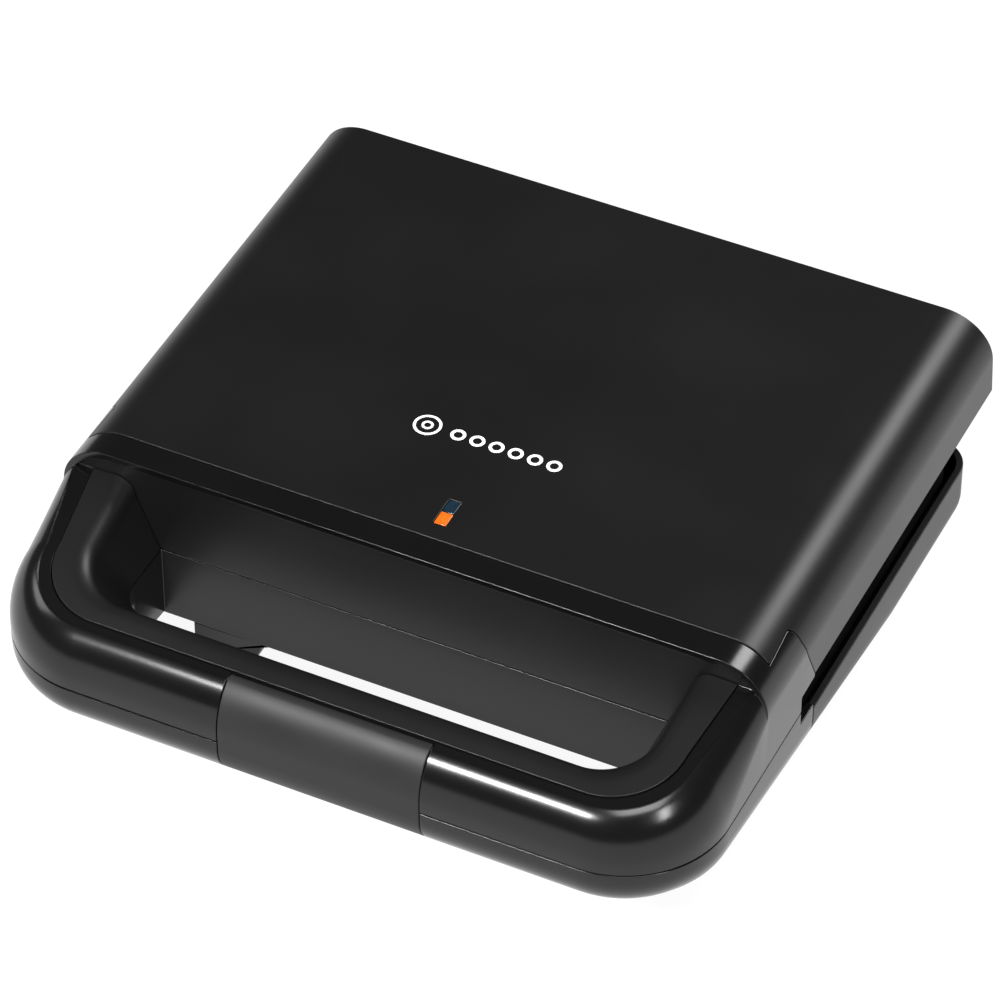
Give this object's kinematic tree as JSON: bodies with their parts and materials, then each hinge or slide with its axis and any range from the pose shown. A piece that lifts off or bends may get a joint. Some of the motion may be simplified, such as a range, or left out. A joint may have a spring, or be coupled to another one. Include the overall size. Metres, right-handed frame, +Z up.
{
  "type": "donut maker",
  "caption": "Countertop ring-doughnut maker: hinged black housings round a finger handle, baking plates with ring cavities, two pilot lenses and a pivoting latch clip.",
  "frame": {"origin": "on the table, under the middle of the closed appliance's box", "axes": "+Z up, the handle and latch clip at -Y, the hinge at +Y, +X to the right seen from the handle"},
  "size_m": [0.24, 0.242, 0.08],
  "materials": {
    "shell_plastic": "satin moulded black plastic",
    "handle_plastic": "polished moulded black plastic",
    "liner_plastic": "satin moulded black plastic",
    "clip_plastic": "fine matt black plastic",
    "coated_plate": "cast aluminium with a black non-stick coating",
    "coated_carrier": "pressed steel, heat-proof black paint",
    "reflector_sheet": "bright rolled sheet",
    "rubber": "matt moulded rubber",
    "hinge_steel": "pressed zinc-plated steel",
    "fastener_steel": "plated steel",
    "element_sheath": "drawn steel sheath, dulled by heat",
    "ceramic": "unglazed ceramic",
    "orange_lens": "clear orange lens",
    "dark_lens": "deep blue-black lens",
    "lamp_glass": "small glass neon lamp",
    "black_nylon": "moulded black nylon"
  },
  "bodies": {
    "base": {"lower_housing": "shell_plastic", "lower_handle_frame": "handle_plastic", "lower_plate_carrier": "coated_carrier", "lower_baking_plate": "coated_plate", "lower_heating_element": "element_sheath", "lower_heat_reflector": "reflector_sheet", "terminal_block": "ceramic", "front_foot_left": "rubber", "front_foot_right": "rubber", "rear_foot_left": "rubber", "rear_foot_right": "rubber", "cord_clip": "black_nylon", "cord_inlet_bush": "rubber", "hinge_bracket_lower_left": "hinge_steel", "hinge_bracket_lower_right": "hinge_steel", "hinge_pin_left": "hinge_steel", "hinge_pin_right": "hinge_steel", "base_screw_1": "fastener_steel", "base_screw_2": "fastener_steel", "base_screw_3": "fastener_steel", "base_screw_4": "fastener_steel"},
    "lid": {"top_cover": "shell_plastic", "upper_handle_frame": "handle_plastic", "upper_handle_liner": "liner_plastic", "upper_plate_carrier": "coated_carrier", "upper_baking_plate": "coated_plate", "upper_heating_element": "element_sheath", "upper_heat_reflector": "reflector_sheet", "thermostat": "ceramic", "thermal_fuse": "fastener_steel", "power_lens": "orange_lens", "ready_lens": "dark_lens", "lamp_holder": "black_nylon", "power_lamp": "lamp_glass", "ready_lamp": "lamp_glass", "hinge_bracket_upper_left": "hinge_steel", "hinge_bracket_upper_right": "hinge_steel", "latch_pin": "fastener_steel", "carrier_screw_1": "fastener_steel", "carrier_screw_2": "fastener_steel", "carrier_screw_3": "fastener_steel", "carrier_screw_4": "fastener_steel"},
    "latch": {"latch_clip": "clip_plastic"}
  },
  "joints": [
    {"name": "lid_hinge", "type": "hinge", "parent": "base", "child": "lid", "pos_m": [0, 0.1135, 0.0405], "axis": [-1, 0, 0], "range_deg": [0, 100]},
    {"name": "latch_pivot", "type": "hinge", "parent": "lid", "child": "latch", "pos_m": [0, -0.1116, 0.0588], "axis": [-1, 0, 0], "range_deg": [0, 35]}
  ]
}
